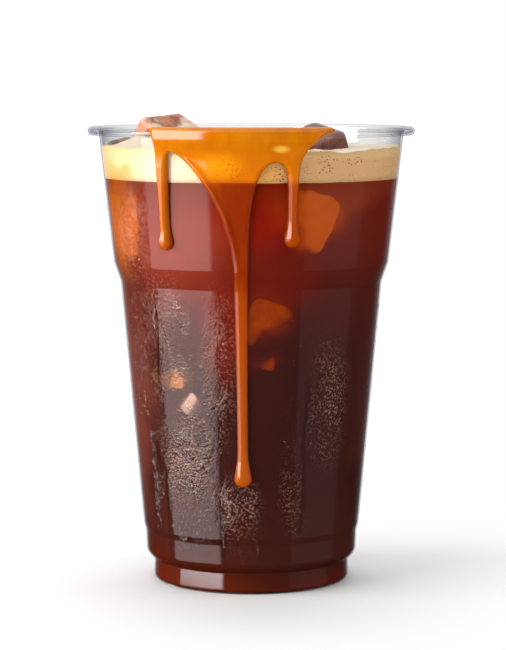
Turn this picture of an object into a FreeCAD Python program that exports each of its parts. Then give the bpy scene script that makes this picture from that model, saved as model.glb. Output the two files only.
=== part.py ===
import FreeCAD, Part
import math
import os
import Sketcher

# An iced coffee: a clear thermoformed cup, the coffee, its foam, floating ice and a caramel
# pour that runs over the rim and down the outside in three drips.
# Millimetres, +Z up. The cup stands on Z = 0 with its axis on Z, and the pour is on the -Y side.

PARTS = "parts"
TAU = 2 * math.pi

SIZES = {
    # the cup: radii and levels of its outer skin
    "half_wall": 0.3,
    "cup_height": 132.4,
    "rim_radius": 47.5,
    "lip_height": 2.3,
    "lip_reach": 2.0,
    "lip_tuck": 0.1,
    "lip_bend": 0.8,
    "mouth_radius": 44.4,
    "band_radius": 40.0,
    "band_level": 93.3,
    "waist_radius": 38.05,
    "waist_level": 87.7,
    "shoulder_bend": 2.0,
    "ledge_radius": 31.6,
    "ledge_level": 16.4,
    "step_radius": 31.05,
    "step_level": 14.6,
    "step_bend": 0.9,
    "heel_radius": 30.8,
    "heel_level": 8.0,
    "heel_bend": 3.0,
    "neck_radius": 28.45,
    "neck_level": 6.3,
    "neck_bend": 0.6,
    "foot_radius": 28.75,
    "foot_bend": 1.2,
    "foot_width": 3.4,
    "panel_slope": 2.2,
    "panel_rise": 2.8,
    "panel_bend": 1.2,
    "vent_angle": -56.6,
    "vent_width": 5.0,
    "vent_height": 1.0,
    # the drink
    "coffee_drop": 14.7,
    "foam_depth": 8.9,
    # the ice: a block's side at its wide and narrow ends, its length, its place and how far its
    # middle is above the coffee
    "ice_bend": 1.6,
    "left_ice_wide": 24.0,
    "left_ice_narrow": 20.0,
    "left_ice_length": 23.0,
    "left_ice_x": -23.3,
    "left_ice_y": 4.0,
    "left_ice_rise": 3.6,
    "right_ice_wide": 22.0,
    "right_ice_narrow": 17.0,
    "right_ice_length": 24.0,
    "right_ice_x": 14.8,
    "right_ice_y": -14.0,
    "right_ice_rise": 3.4,
    "edge_ice_wide": 8.0,
    "edge_ice_narrow": 6.0,
    "edge_ice_length": 8.0,
    "edge_ice_x": -37.2,
    "edge_ice_y": -7.0,
    "edge_ice_rise": 7.9,
    # the caramel: its film on the rim, its web on the wall and its three drips
    "film": 0.9,
    "land": 2.6,
    "crest_bend": 1.0,
    "throat_drop": 6.2,
    "throat_bend": 2.5,
    "web": 1.2,
    "edge_inset": 1.45,
    "pour_left": -28.5,
    "pour_right": 22.8,
    "pour_tip_drop": 0.4,
    "right_edge_drop": 5.4,
    "left_arch_x": -22.4,
    "left_arch_drop": 5.6,
    "right_arch_x": 6.6,
    "right_arch_drop": 9.0,
    "arch_foot_rise": 2.2,
    "drip_top_drop": 5.4,
    "drip_depth": 0.44,
    "left_drip_angle": -36.2,
    "left_drip_width": 3.2,
    "left_drip_bulb": 4.0,
    "left_drip_fall": 33.6,
    "middle_drip_angle": -3.5,
    "middle_drip_width": 4.6,
    "middle_drip_bulb": 6.3,
    "middle_drip_fall": 100.7,
    "right_drip_angle": 16.0,
    "right_drip_width": 3.5,
    "right_drip_bulb": 4.7,
    "right_drip_fall": 32.0,
}

# Levels that follow from the sizes, so that the drink, its ice and the pour move with the rim
LEVELS = {
    "coffee_level": "cup_height - coffee_drop",
    "left_ice_z": "coffee_level + left_ice_rise",
    "right_ice_z": "coffee_level + right_ice_rise",
    "edge_ice_z": "coffee_level + edge_ice_rise",
    "pour_tip": "cup_height - pour_tip_drop",
    "right_edge_level": "cup_height - right_edge_drop",
    "left_arch_level": "cup_height - left_arch_drop",
    "right_arch_level": "cup_height - right_arch_drop",
    "arch_foot": "band_level + arch_foot_rise",
    "drip_top": "cup_height - drip_top_drop",
    "left_drip_end": "cup_height - left_drip_fall",
    "middle_drip_end": "cup_height - middle_drip_fall",
    "right_drip_end": "cup_height - right_drip_fall",
}

# The skin's straight stretches, as (lower radius, lower level, upper radius, upper level)
BAND = ("band_radius", "band_level", "mouth_radius", "cup_height")
SHOULDER = ("waist_radius", "waist_level", "band_radius", "band_level")
BODY = ("ledge_radius", "ledge_level", "waist_radius", "waist_level")

# Low swells of the foam's top: (x, y, height, spread)
SWELLS = (
    (-31.0, -12.0, 3.0, 5.5),
    (-30.0, 22.0, 1.6, 7.0),
    (24.0, -32.0, -1.1, 5.0),
    (38.0, 8.0, 0.5, 9.0),
    (6.0, 30.0, -0.5, 10.0),
    (-10.0, -28.0, 0.4, 9.0),
)


def make_sheet():
    sheet = doc.addObject("Spreadsheet::Sheet", "size")
    rows = [(name, str(value)) for name, value in SIZES.items()]
    rows += [(name, "=" + formula) for name, formula in LEVELS.items()]
    for row, (name, value) in enumerate(rows, 1):
        sheet.set("A%d" % row, name)
        sheet.set("B%d" % row, value)
        sheet.setAlias("B%d" % row, name)
    doc.recompute()
    return sheet


def is_number(word):
    return word.replace(".", "").isdigit()


def amount(text):
    """The value of a sum of cells, such as "rim_radius - half_wall"."""
    words = text.split()
    total = 0.0
    for sign, word in zip(["+"] + words[1::2], words[0::2]):
        value = float(word) if is_number(word) else float(sheet.get(word))
        total += value if sign == "+" else -value
    return total


def cells(text):
    """The same sum as an expression bound to the sheet."""
    return " ".join(word if word in "+-" or is_number(word) else "size." + word for word in text.split())


def add(kind, name, **bindings):
    """A new object, with its properties bound to expressions: Placement_Base_x is Placement.Base.x."""
    thing = doc.addObject(kind, name)
    for key, expression in bindings.items():
        thing.setExpression(key.replace("_", "."), expression)
    return thing


def turn(angle, about=(0, 0, 1)):
    return FreeCAD.Rotation(FreeCAD.Vector(*about), angle)


# ---------------------------------------------------------------- profiles and revolves


def rounded(points, i, radius):
    """Where the arc at corner i starts and stops, the arc, and whether it runs from start to stop."""
    corner = points[i]
    back = (points[i - 1] - corner).normalize()
    on = (points[(i + 1) % len(points)] - corner).normalize()
    half = back.getAngle(on) / 2
    reach = radius / math.tan(half)
    centre = corner + (back + on).normalize() * (radius / math.sin(half))
    start, stop = corner + back * reach, corner + on * reach
    forward = back.cross(on).z < 0
    first, last = (start, stop) if forward else (stop, start)
    begin = math.atan2(first.y - centre.y, first.x - centre.x)
    end = math.atan2(last.y - centre.y, last.x - centre.x)
    circle = Part.Circle(centre, FreeCAD.Vector(0, 0, 1), radius)
    return start, stop, Part.ArcOfCircle(circle, begin, end + TAU if end < begin else end), forward


def profile(label, corners, closed):
    """A sketch in the XZ plane of straight runs joined by tangent arcs.

    Each corner is (name, radius from the axis, level, bend or None for a sharp corner).
    """
    sketch = doc.addObject("Sketcher::SketchObject", label)
    sketch.Placement = FreeCAD.Placement(FreeCAD.Vector(0, 0, 0), turn(90, (1, 0, 0)))
    points = [FreeCAD.Vector(amount(r), amount(z), 0) for _, r, z, _ in corners]
    count = len(points)
    ends = [
        rounded(points, i, amount(bend)) if bend else (points[i], points[i], None, True)
        for i, (_, _, _, bend) in enumerate(corners)
    ]
    runs = count if closed else count - 1
    lines = [
        sketch.addGeometry(Part.LineSegment(ends[i][1], ends[(i + 1) % count][0]), False) for i in range(runs)
    ]
    arcs = [sketch.addGeometry(end[2], False) if end[2] else None for end in ends]
    rules, bound = [], {}

    def bind(rule, name, expression):
        bound[len(rules)] = (name, expression)
        rules.append(rule)

    for i, (name, r, z, bend) in enumerate(corners):
        before = lines[i - 1] if closed or i > 0 else None
        after = lines[i] if i < runs else None
        if bend:
            spot, end = sketch.addGeometry(Part.Point(points[i]), True), 1
        else:
            spot, end = (after, 1) if after is not None else (before, 2)
        bind(Sketcher.Constraint("DistanceX", -1, 1, spot, end, points[i].x), name + "_r", cells(r))
        bind(Sketcher.Constraint("DistanceY", -1, 1, spot, end, points[i].y), name + "_z", cells(z))
        if bend:
            near, far = (1, 2) if ends[i][3] else (2, 1)
            rules.append(Sketcher.Constraint("PointOnObject", spot, 1, before))
            rules.append(Sketcher.Constraint("PointOnObject", spot, 1, after))
            rules.append(Sketcher.Constraint("Tangent", before, 2, arcs[i], near))
            rules.append(Sketcher.Constraint("Tangent", arcs[i], far, after, 1))
            bind(Sketcher.Constraint("Radius", arcs[i], amount(bend)), name + "_bend", cells(bend))
        elif before is not None and after is not None:
            rules.append(Sketcher.Constraint("Coincident", before, 2, after, 1))
    sketch.addConstraint(rules)
    for index, (name, expression) in bound.items():
        sketch.renameConstraint(index, name)
        sketch.setExpression("Constraints." + name, expression)
    return sketch


def revolved(name, outline):
    """The solid that an outline in the XZ plane sweeps about Z; what is left of the axis is cut off."""
    face = doc.addObject("Part::Face", name + "_face")
    face.Sources = [outline]
    face.FaceMakerClass = "Part::FaceMakerSimple"
    half = add(
        "Part::Plane", name + "_half", Length="size.rim_radius * 2", Width="size.cup_height * 2",
        Placement_Base_z="-size.cup_height / 2",
    )
    half.Placement.Rotation = turn(90, (1, 0, 0))
    kept = joined("Part::Common", name + "_section", face, half)
    solid = doc.addObject("Part::Revolution", name)
    solid.Source = kept
    solid.Axis = FreeCAD.Vector(0, 0, 1)
    solid.Angle = 360
    solid.Solid = True
    return solid


def joined(kind, name, base, tool):
    """A boolean of two objects: Part::Cut, Part::Common or Part::Fuse."""
    result = doc.addObject(kind, name)
    result.Base = base
    result.Tool = tool
    return result


def cut_all(name, base, *tools):
    for i, tool in enumerate(tools, 1):
        base = joined("Part::Cut", name if i == len(tools) else "%s_cut_%d" % (name, i), base, tool)
    return base


# ---------------------------------------------------------------- the cup

# The middle line of the wall, from the base panel out and up to the mouth
WALL_LINE = [
    ("panel", "foot_radius - foot_width - panel_slope", "panel_rise", "panel_bend"),
    ("ring", "foot_radius - foot_width", "half_wall", "panel_bend"),
    ("foot", "foot_radius - half_wall", "half_wall", "foot_bend"),
    ("neck", "neck_radius - half_wall", "neck_level", "neck_bend"),
    ("heel", "heel_radius - half_wall", "heel_level", "heel_bend"),
    ("step", "step_radius - half_wall", "step_level", "step_bend"),
    ("ledge", "ledge_radius - half_wall", "ledge_level", "step_bend"),
    ("waist", "waist_radius - half_wall", "waist_level", "shoulder_bend"),
    ("band", "band_radius - half_wall", "band_level", "shoulder_bend"),
]


def make_shell():
    """The wall: its middle line with the rolled lip, thickened to both sides and revolved."""
    lip = [
        ("mouth", "mouth_radius - half_wall", "cup_height - half_wall", "lip_bend"),
        ("lip_out", "rim_radius - half_wall", "cup_height - half_wall", "lip_bend"),
        ("lip_low", "rim_radius - half_wall - lip_tuck", "cup_height - lip_height + half_wall", "lip_bend"),
        ("lip_end", "rim_radius - lip_reach", "cup_height - lip_height + half_wall", None),
    ]
    line = profile("wall_line", [("centre", "half_wall - 5", "panel_rise", None)] + WALL_LINE + lip, False)
    skin = add("Part::Offset2D", "wall_skin", Value="size.half_wall")
    skin.Source = line
    return revolved("shell", skin)


def make_bowl():
    """What lies inside the middle line of the wall, up to the mouth."""
    centre = [("centre", "half_wall - 5", "panel_rise", None)]
    top = [
        ("mouth", "mouth_radius - half_wall", "cup_height", None),
        ("top", "half_wall - 5", "cup_height", None),
    ]
    return revolved("bowl", profile("bowl_line", centre + WALL_LINE + top, True))


def vent_block(name, spare):
    """A block across the foot's standing ring, at the vent."""
    width, reach = "(size.vent_width + %s)" % spare, "(size.foot_radius + 1)"
    sine, cosine = "sin(size.vent_angle)", "cos(size.vent_angle)"
    return add(
        "Part::Box", name, Length=width, Width="size.foot_width * 2",
        Height="size.vent_height * 2 + %s / 2" % spare,
        Placement_Base_x="%s * %s - %s / 2 * %s" % (reach, sine, width, cosine),
        Placement_Base_y="-%s * %s - %s / 2 * %s" % (reach, cosine, width, sine),
        Placement_Base_z="-size.vent_height",
        Placement_Rotation_Angle="size.vent_angle",
    )


def make_cup():
    """The cup with its vent, and the hollow that its contents fill."""
    shell, bowl = make_shell(), make_bowl()
    full = joined("Part::Fuse", "full", shell, bowl)
    cover = joined("Part::Common", "vent_cover", vent_block("vent_outer", "4 * size.half_wall"), full)
    walls = joined("Part::Fuse", "walls", shell, cover)
    cup = joined("Part::Cut", "cup", walls, vent_block("vent_inner", "0"))
    hollow = joined("Part::Cut", "hollow", bowl, walls)
    return cup, hollow, full


# ---------------------------------------------------------------- the drink


def make_ice(name, about, angle):
    """A moulded block: tapered, rounded and tipped over."""
    body = doc.addObject("PartDesign::Body", name)
    block = body.newObject("PartDesign::AdditiveWedge", name + "_block")
    for axis, low, high in (("X", "Xmin", "Xmax"), ("Z", "Zmin", "Zmax")):
        block.setExpression(low, "-size.%s_wide / 2" % name)
        block.setExpression(high, "size.%s_wide / 2" % name)
        block.setExpression(axis + "2min", "-size.%s_narrow / 2" % name)
        block.setExpression(axis + "2max", "size.%s_narrow / 2" % name)
    block.setExpression("Ymin", "-size.%s_length / 2" % name)
    block.setExpression("Ymax", "size.%s_length / 2" % name)
    doc.recompute()
    rounding = body.newObject("PartDesign::Fillet", name + "_round")
    rounding.Base = (block, [""])
    rounding.UseAllEdges = True
    rounding.setExpression("Radius", "size.ice_bend")
    body.Placement.Rotation = turn(angle, about)
    for axis in "xyz":
        body.setExpression("Placement.Base." + axis, "size.%s_%s" % (name, axis))
    return body


def foam_height(x, y):
    level = amount("coffee_level + foam_depth")
    for swell_x, swell_y, height, spread in SWELLS:
        level += height * math.exp(-((x - swell_x) ** 2 + (y - swell_y) ** 2) / (2 * spread ** 2))
    return level


def make_foam_block():
    """A block with the foam's uneven top, wider than the cup."""
    side, steps = amount("rim_radius"), 16
    spots = [side * (2 * i / steps - 1) for i in range(steps + 1)]
    top = Part.BSplineSurface()
    top.interpolate([[FreeCAD.Vector(x, y, foam_height(x, y)) for y in spots] for x in spots])
    block = doc.addObject("Part::Feature", "foam_block")
    block.Shape = top.toShape().extrude(FreeCAD.Vector(0, 0, -3 * amount("foam_depth")))
    return block


def make_drink(hollow, ice):
    below = add("Part::Cylinder", "below", Radius="size.rim_radius", Height="size.coffee_level")
    drink = joined("Part::Common", "drink", hollow, below)
    coffee = cut_all("coffee", drink, *ice)
    head = joined("Part::Common", "head", hollow, make_foam_block())
    foam = cut_all("foam", head, below, *ice)
    return coffee, foam


# ---------------------------------------------------------------- the caramel


def skin_radius(stretch, level):
    """The skin's radius at a level, as an expression."""
    r0, z0, r1, z1 = ("size." + name for name in stretch)
    return "(%s + (%s - %s) * ((%s) - %s) / (%s - %s))" % (r0, r1, r0, level, z0, z1, z0)


def section(name, stretch, level, angle, width, depth):
    """An ellipse that lies level across the skin, half of it outside."""
    radius = skin_radius(stretch, level)
    ellipse = add(
        "Part::Ellipse", name, MajorRadius="(%s) / 2" % width, MinorRadius="(%s) / 2 * %s" % (width, depth),
        Placement_Base_x="%s * sin(%s)" % (radius, angle), Placement_Base_y="-%s * cos(%s)" % (radius, angle),
        Placement_Base_z=level, Placement_Rotation_Angle=angle,
    )
    return ellipse


def spaced(stretch, high, low, count):
    """Evenly spaced stations down one stretch of the skin."""
    return [(stretch, "(%s) + (%s - (%s)) * %d / %d" % (high, low, high, i, count - 1)) for i in range(count)]


def make_drip(side, stations):
    """A run of caramel down the wall, lofted through level sections, with a round bulb at its end."""
    name = side + "_drip"
    angle, depth = "size.%s_angle" % name, "2 * size.drip_depth"
    stem, bulb, end = "size.%s_width" % name, "size.%s_bulb" % name, "size.%s_end" % name
    centre, last = "(%s + %s * 0.6)" % (end, bulb), stations[-1][0]
    levels = [(stretch, level, stem) for stretch, level in stations]
    for rise, stem_share, bulb_share in ((1.5, 0.75, 0.25), (0.6, 0.2, 0.78), (0.0, 0.0, 0.95)):
        width = "(%s * %s + %s * %s)" % (stem, stem_share, bulb, bulb_share)
        levels.append((last, "%s + %s * %s" % (centre, bulb, rise), width))
    run = doc.addObject("Part::Loft", name + "_run")
    run.Sections = [
        section("%s_section_%d" % (name, i), stretch, level, angle, width, depth)
        for i, (stretch, level, width) in enumerate(levels)
    ]
    run.Solid = True
    radius = skin_radius(last, centre)
    tip = add(
        "Part::Ellipsoid", name + "_tip", Radius1="%s * 0.6" % bulb, Radius2="%s / 2" % bulb,
        Radius3="%s / 2 * %s" % (bulb, depth),
        Placement_Base_x="%s * sin(%s)" % (radius, angle), Placement_Base_y="-%s * cos(%s)" % (radius, angle),
        Placement_Base_z=centre, Placement_Rotation_Angle=angle,
    )
    return joined("Part::Fuse", name, run, tip)


def wall_radius(level):
    """The skin's radius at a level of the upper band."""
    rise = (level - amount("band_level")) / amount("cup_height - band_level")
    return amount("band_radius") + rise * amount("mouth_radius - band_radius")


def drip_edge(side, level, sign):
    """Where the middle of the round edge along a drip's side lies, seen from the front."""
    angle = math.radians(amount(side + "_drip_angle"))
    half = amount(side + "_drip_width") / 2 - amount("edge_inset")
    return wall_radius(level) * math.sin(angle) + sign * half * math.cos(angle)


def curve(*stations):
    """A smooth edge through (x, z, heading) stations seen from the front; heading None is free."""
    spline = Part.BSplineCurve()
    spline.interpolate(
        Points=[FreeCAD.Vector(x, 0, z) for x, z, _ in stations],
        Tangents=[FreeCAD.Vector(*(heading or (0, 0, 0))) for _, _, heading in stations],
        TangentFlags=[bool(heading) for _, _, heading in stations],
        Scale=False,
    )
    return spline


def pour_edges():
    """The middle lines of the web's round edges: left side, left arch, right arch, right side."""
    down, up, across = (0, 0, -1), (0, 0, 1), (1, 0, 0)
    round_edge, foot = amount("web"), amount("arch_foot")
    left, right, tip = amount("pour_left + web"), amount("pour_right - web"), amount("pour_tip")
    left_top, right_top = amount("left_arch_level + web"), amount("right_arch_level + web")
    left_low, right_low = left_top - 8, right_top - 8
    left_out, left_in = drip_edge("left", left_low, -1), drip_edge("left", left_low, 1)
    middle_out, middle_in = drip_edge("middle", foot, -1), drip_edge("middle", foot, 1)
    right_in, right_out = drip_edge("right", right_low, -1), drip_edge("right", right_low, 1)
    return [
        curve((left, tip, down), (left_out, left_low, down)),
        curve(
            (left_in, left_low, up),
            (amount("left_arch_x"), left_top, across),
            (left_in * 0.47 + middle_out * 0.53 + round_edge, left_top - 8.0, None),
            (middle_out - 0.6, foot + 9.0, None),
            (middle_out, foot, down),
        ),
        curve(
            (middle_in, foot, up),
            (middle_in + 0.8, right_top - 8.0, None),
            (amount("right_arch_x"), right_top, across),
            (right_in, right_low, down),
        ),
        curve(
            (right_out, right_low, up),
            (right_out + 0.6, amount("right_edge_level") - 5.0, None),
            (right, tip, up),
        ),
    ]


def make_film_ring():
    """Caramel all round: over the rim's land, its lip and the throat under it, and down the wall."""
    corners = [
        ("land", "rim_radius - land", "cup_height - half_wall", None),
        ("crest_in", "rim_radius - land", "cup_height + film", "crest_bend"),
        ("crest_out", "rim_radius + film", "cup_height + film", "crest_bend"),
        ("under_lip", "rim_radius + film", "cup_height - lip_height - film", "crest_bend"),
        ("throat", "band_radius + web", "cup_height - throat_drop", "throat_bend"),
        ("low_out", "band_radius + web", "arch_foot", None),
        ("low_in", "waist_radius", "arch_foot", None),
        ("high_in", "waist_radius", "cup_height - half_wall", None),
    ]
    line = profile("film_line", corners, True)
    for name, level in (("throat", "size.cup_height - size.throat_drop"), ("low_out", "size.arch_foot")):
        line.setExpression("Constraints.%s_r" % name, skin_radius(BAND, level) + " + size.web")
    face = doc.addObject("Part::Face", "film_face")
    face.Sources = [line]
    face.FaceMakerClass = "Part::FaceMakerSimple"
    ring = doc.addObject("Part::Revolution", "film_ring")
    ring.Source = face
    ring.Axis = FreeCAD.Vector(0, 0, 1)
    ring.Angle = 360
    ring.Solid = True
    return ring


def make_web(edges):
    """The film ring, kept within the pour's front outline."""
    shapes, ends = [edge.toShape() for edge in edges], []
    for edge, following in zip(edges, edges[1:] + edges[:1]):
        ends.append((edge.value(edge.LastParameter), following.value(following.FirstParameter)))
    top = FreeCAD.Vector(0, 0, amount("film + film"))
    last, first = ends.pop()
    ends += [(last, last + top), (last + top, first + top), (first + top, first)]
    shapes += [Part.makeLine(*end) for end in ends]
    front = Part.Face(Part.Wire(Part.sortEdges(shapes)[0]))
    prism = doc.addObject("Part::Feature", "pour_prism")
    prism.Shape = front.extrude(FreeCAD.Vector(0, -2 * amount("rim_radius"), 0))
    return joined("Part::Common", "web", make_film_ring(), prism)


def make_bead(name, spline):
    """A round edge along the web: level with its skin, lofted through circles on the wall."""
    steps, top = 11, amount("cup_height - throat_drop")
    start, stop = spline.FirstParameter, spline.LastParameter
    spots = [spline.value(start + (stop - start) * i / steps) for i in range(steps + 1)]
    spots = [spot for spot in spots if spot.z < top + amount("throat_bend")]
    on_wall = [FreeCAD.Vector(p.x, -math.sqrt(wall_radius(p.z) ** 2 - p.x ** 2), p.z) for p in spots]
    rings = []
    for i, spot in enumerate(on_wall):
        heading = on_wall[min(i + 1, len(on_wall) - 1)] - on_wall[max(i - 1, 0)]
        rings.append(Part.Wire(Part.makeCircle(amount("web"), spot, heading)))
    bead = doc.addObject("Part::Feature", name)
    bead.Shape = Part.makeLoft(rings, True)
    return bead


def make_caramel(full):
    level = "size.drip_top"
    drips = [
        make_drip("left", spaced(BAND, level, level + " - 14", 3)),
        make_drip("right", spaced(BAND, level, level + " - 14", 3)),
        make_drip(
            "middle",
            spaced(BAND, level, "size.band_level + 1.5", 7)
            + [(SHOULDER, "(size.band_level + size.waist_level) / 2")]
            + spaced(BODY, "size.waist_level - 1.5", "size.middle_drip_end + 4 * size.middle_drip_bulb", 6),
        ),
    ]
    edges = pour_edges()
    beads = [make_bead("bead_%d" % (i + 1), edge) for i, edge in enumerate(edges)]
    pour = make_web(edges)
    for piece in drips + beads:
        pour = joined("Part::Fuse", "pour_with_" + piece.Name, pour, piece)
    return joined("Part::Cut", "caramel", pour, full)


# ---------------------------------------------------------------- the document


def lost_piece(thing):
    """Whether a fuse came out smaller than one of its two pieces."""
    if thing.TypeId != "Part::Fuse":
        return False
    return thing.Shape.Volume < 0.999 * max(thing.Base.Shape.Volume, thing.Tool.Shape.Volume)


def check_and_write(nodes):
    doc.recompute()
    failed = [thing.Name for thing in doc.Objects if {"Invalid", "Error"} & set(thing.State)]
    failed += [thing.Name for thing in doc.Objects if lost_piece(thing)]
    if failed:
        raise SystemExit("failed objects: " + ", ".join(failed))
    os.makedirs(PARTS, exist_ok=True)
    for node in nodes:
        shape = node.Shape
        if shape.isNull() or not shape.isValid() or len(shape.Solids) != 1:
            raise SystemExit(node.Name + " isn't one valid solid")
        node.Label = node.Name
        shape.exportStep("%s/%s.step" % (PARTS, node.Label))
        print("%-10s %10.1f mm3" % (node.Label, shape.Volume))


doc = FreeCAD.newDocument("iced_coffee")
sheet = make_sheet()
cup, hollow, full = make_cup()
ice = [
    make_ice("left_ice", (0.72, -0.67, 0.17), 94.6),
    make_ice("right_ice", (0.51, 0.84, 0.19), 177.4),
    make_ice("edge_ice", (0.73, 0.68, 0.03), 160),
]
coffee, foam = make_drink(hollow, ice)
caramel = make_caramel(full)
check_and_write([cup, coffee, foam] + ice + [caramel])
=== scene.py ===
import math

import bmesh
import bpy
import numpy as np
from mathutils import Euler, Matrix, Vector, noise


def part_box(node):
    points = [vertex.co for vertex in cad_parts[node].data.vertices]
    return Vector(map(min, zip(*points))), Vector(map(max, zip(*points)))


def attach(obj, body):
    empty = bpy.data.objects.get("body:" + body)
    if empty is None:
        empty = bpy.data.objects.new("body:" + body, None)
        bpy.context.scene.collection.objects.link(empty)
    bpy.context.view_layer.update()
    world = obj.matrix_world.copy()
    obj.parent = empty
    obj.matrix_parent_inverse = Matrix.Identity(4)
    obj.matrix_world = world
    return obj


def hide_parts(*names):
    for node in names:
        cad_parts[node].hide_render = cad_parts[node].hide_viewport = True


# An iced coffee in a clear cup: the cup, coffee, foam, ice and caramel pour are modelled here
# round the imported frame. Metres, +Z up; lengths written in millimetres are multiplied by MM.

MM = 0.001
TAU = 2 * math.pi

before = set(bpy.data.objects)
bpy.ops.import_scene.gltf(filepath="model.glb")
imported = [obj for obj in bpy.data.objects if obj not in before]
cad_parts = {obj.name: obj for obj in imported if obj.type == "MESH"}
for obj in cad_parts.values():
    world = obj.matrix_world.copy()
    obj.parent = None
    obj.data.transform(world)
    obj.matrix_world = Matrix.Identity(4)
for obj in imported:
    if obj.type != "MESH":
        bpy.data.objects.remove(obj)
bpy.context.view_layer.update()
random = np.random.default_rng(7)

CUP_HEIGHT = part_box("cup")[1].z / MM
RIM_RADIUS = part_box("cup")[1].x / MM
COFFEE_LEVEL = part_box("coffee")[1].z / MM
FOAM_DEPTH = 8.9
HALF_WALL = 0.3
# How far coffee, foam and sunk ice reach into the wall from its inner face, so that no gap shows
INTO_WALL = 0.25

# ---------------------------------------------------------------- mesh helpers


def add_object(name, data):
    thing = bpy.data.objects.new(name, data)
    bpy.context.scene.collection.objects.link(thing)
    return thing


def new_object(name, points, faces, material, smooth=True):
    """A mesh object from points in millimetres."""
    mesh = bpy.data.meshes.new(name)
    mesh.from_pydata([tuple(p) for p in np.asarray(points, float) * MM], [], faces)
    mesh.validate()
    mesh.update()
    mesh.polygons.foreach_set("use_smooth", [smooth] * len(mesh.polygons))
    mesh.materials.append(material)
    return add_object(name, mesh)


def add_attribute(thing, name, values):
    layer = thing.data.attributes.new(name, "FLOAT", "POINT")
    layer.data.foreach_set("value", np.asarray(values, float))


def weigh_normals(thing):
    """Keeps long flat faces flat beside narrow rounded ones."""
    modifier = thing.modifiers.new("weighted", "WEIGHTED_NORMAL")
    modifier.keep_sharp = True


def unit(rows):
    return rows / np.linalg.norm(rows, axis=1)[:, None]


def rounded_line(corners, steps=5):
    """Points and normals (to the right of the way along) of straight runs joined by arcs."""
    points = [np.array(corner[:2], float) for corner in corners]
    line = [points[0]]
    for i in range(1, len(points) - 1):
        corner, bend = points[i], corners[i][2]
        back = (points[i - 1] - corner) / np.linalg.norm(points[i - 1] - corner)
        on = (points[i + 1] - corner) / np.linalg.norm(points[i + 1] - corner)
        half = math.acos(np.clip(back @ on, -1, 1)) / 2
        centre = corner + (back + on) / np.linalg.norm(back + on) * (bend / math.sin(half))
        start, stop = corner + back * bend / math.tan(half), corner + on * bend / math.tan(half)
        a, b = start - centre, stop - centre
        turn = math.atan2(a[0] * b[1] - a[1] * b[0], a @ b)
        for k in range(steps + 1):
            c, s = math.cos(turn * k / steps), math.sin(turn * k / steps)
            line.append(centre + np.array([a[0] * c - a[1] * s, a[0] * s + a[1] * c]))
    line.append(points[-1])
    line = np.array(line)
    way = np.gradient(line, axis=0)
    for i in range(len(line)):
        before = line[max(i, 1)] - line[max(i, 1) - 1]
        after = line[min(i + 1, len(line) - 1)] - line[min(i, len(line) - 2)]
        way[i] = before / np.linalg.norm(before) + after / np.linalg.norm(after)
    way = unit(way)
    return line, np.stack([way[:, 1], -way[:, 0]], 1)


def around(count):
    """Each point of a closed ring with the one after it."""
    return [(k, (k + 1) % count) for k in range(count)]


def revolve(name, outline, segments, material):
    """A closed surface of revolution from (radius, level) points, with a pole at each end."""
    angles = np.arange(segments) * TAU / segments
    points, rows, faces = [], [], []
    for i, (r, z) in enumerate(outline):
        pole = i in (0, len(outline) - 1)
        rows.append((len(points), pole))
        if pole:
            points.append((0.0, 0.0, z))
        else:
            points += [(r * math.sin(a), -r * math.cos(a), z) for a in angles]
    for (low, low_pole), (high, high_pole) in zip(rows, rows[1:]):
        for k, n in around(segments):
            if low_pole:
                faces.append((low, high + n, high + k))
            elif high_pole:
                faces.append((low + k, low + n, high))
            else:
                faces.append((low + k, low + n, high + n, high + k))
    return new_object(name, points, faces, material)


# ---------------------------------------------------------------- material helpers


class Nodes:
    """Short calls that add nodes to the tree of a material or of the world."""

    def __init__(self, tree):
        self.tree = tree

    def feed(self, socket, value):
        if isinstance(value, bpy.types.NodeSocket):
            self.tree.links.new(value, socket)
        else:
            socket.default_value = value

    def node(self, kind, inputs=(), **settings):
        node = self.tree.nodes.new("ShaderNode" + kind)
        for key, value in settings.items():
            setattr(node, key, value)
        for key, value in dict(inputs).items():
            self.feed(node.inputs[key], value)
        return node

    def math(self, operation, a, b=0.0, c=0.0, clamp=False):
        return self.node("Math", {0: a, 1: b, 2: c}, operation=operation, use_clamp=clamp).outputs[0]

    def times(self, a, b, clamp=False):
        return self.math("MULTIPLY", a, b, clamp=clamp)

    def most(self, a, b):
        return self.math("MAXIMUM", a, b)

    def fade(self, value, start, stop, low=0.0, high=1.0, kind="LINEAR"):
        """Low where the value is at start, and high where it is at stop."""
        inputs = {"Value": value, "From Min": start, "From Max": stop, "To Min": low, "To Max": high}
        return self.node("MapRange", inputs, interpolation_type=kind).outputs[0]

    def ease(self, value, start, stop, low=0.0, high=1.0):
        """A fade with a soft start and end."""
        return self.fade(value, start, stop, low, high, "SMOOTHSTEP")

    def blend(self, share, first, second):
        """The first surface, with the second mixed in by a share."""
        return self.node("MixShader", {0: share, 1: first, 2: second}).outputs[0]


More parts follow.
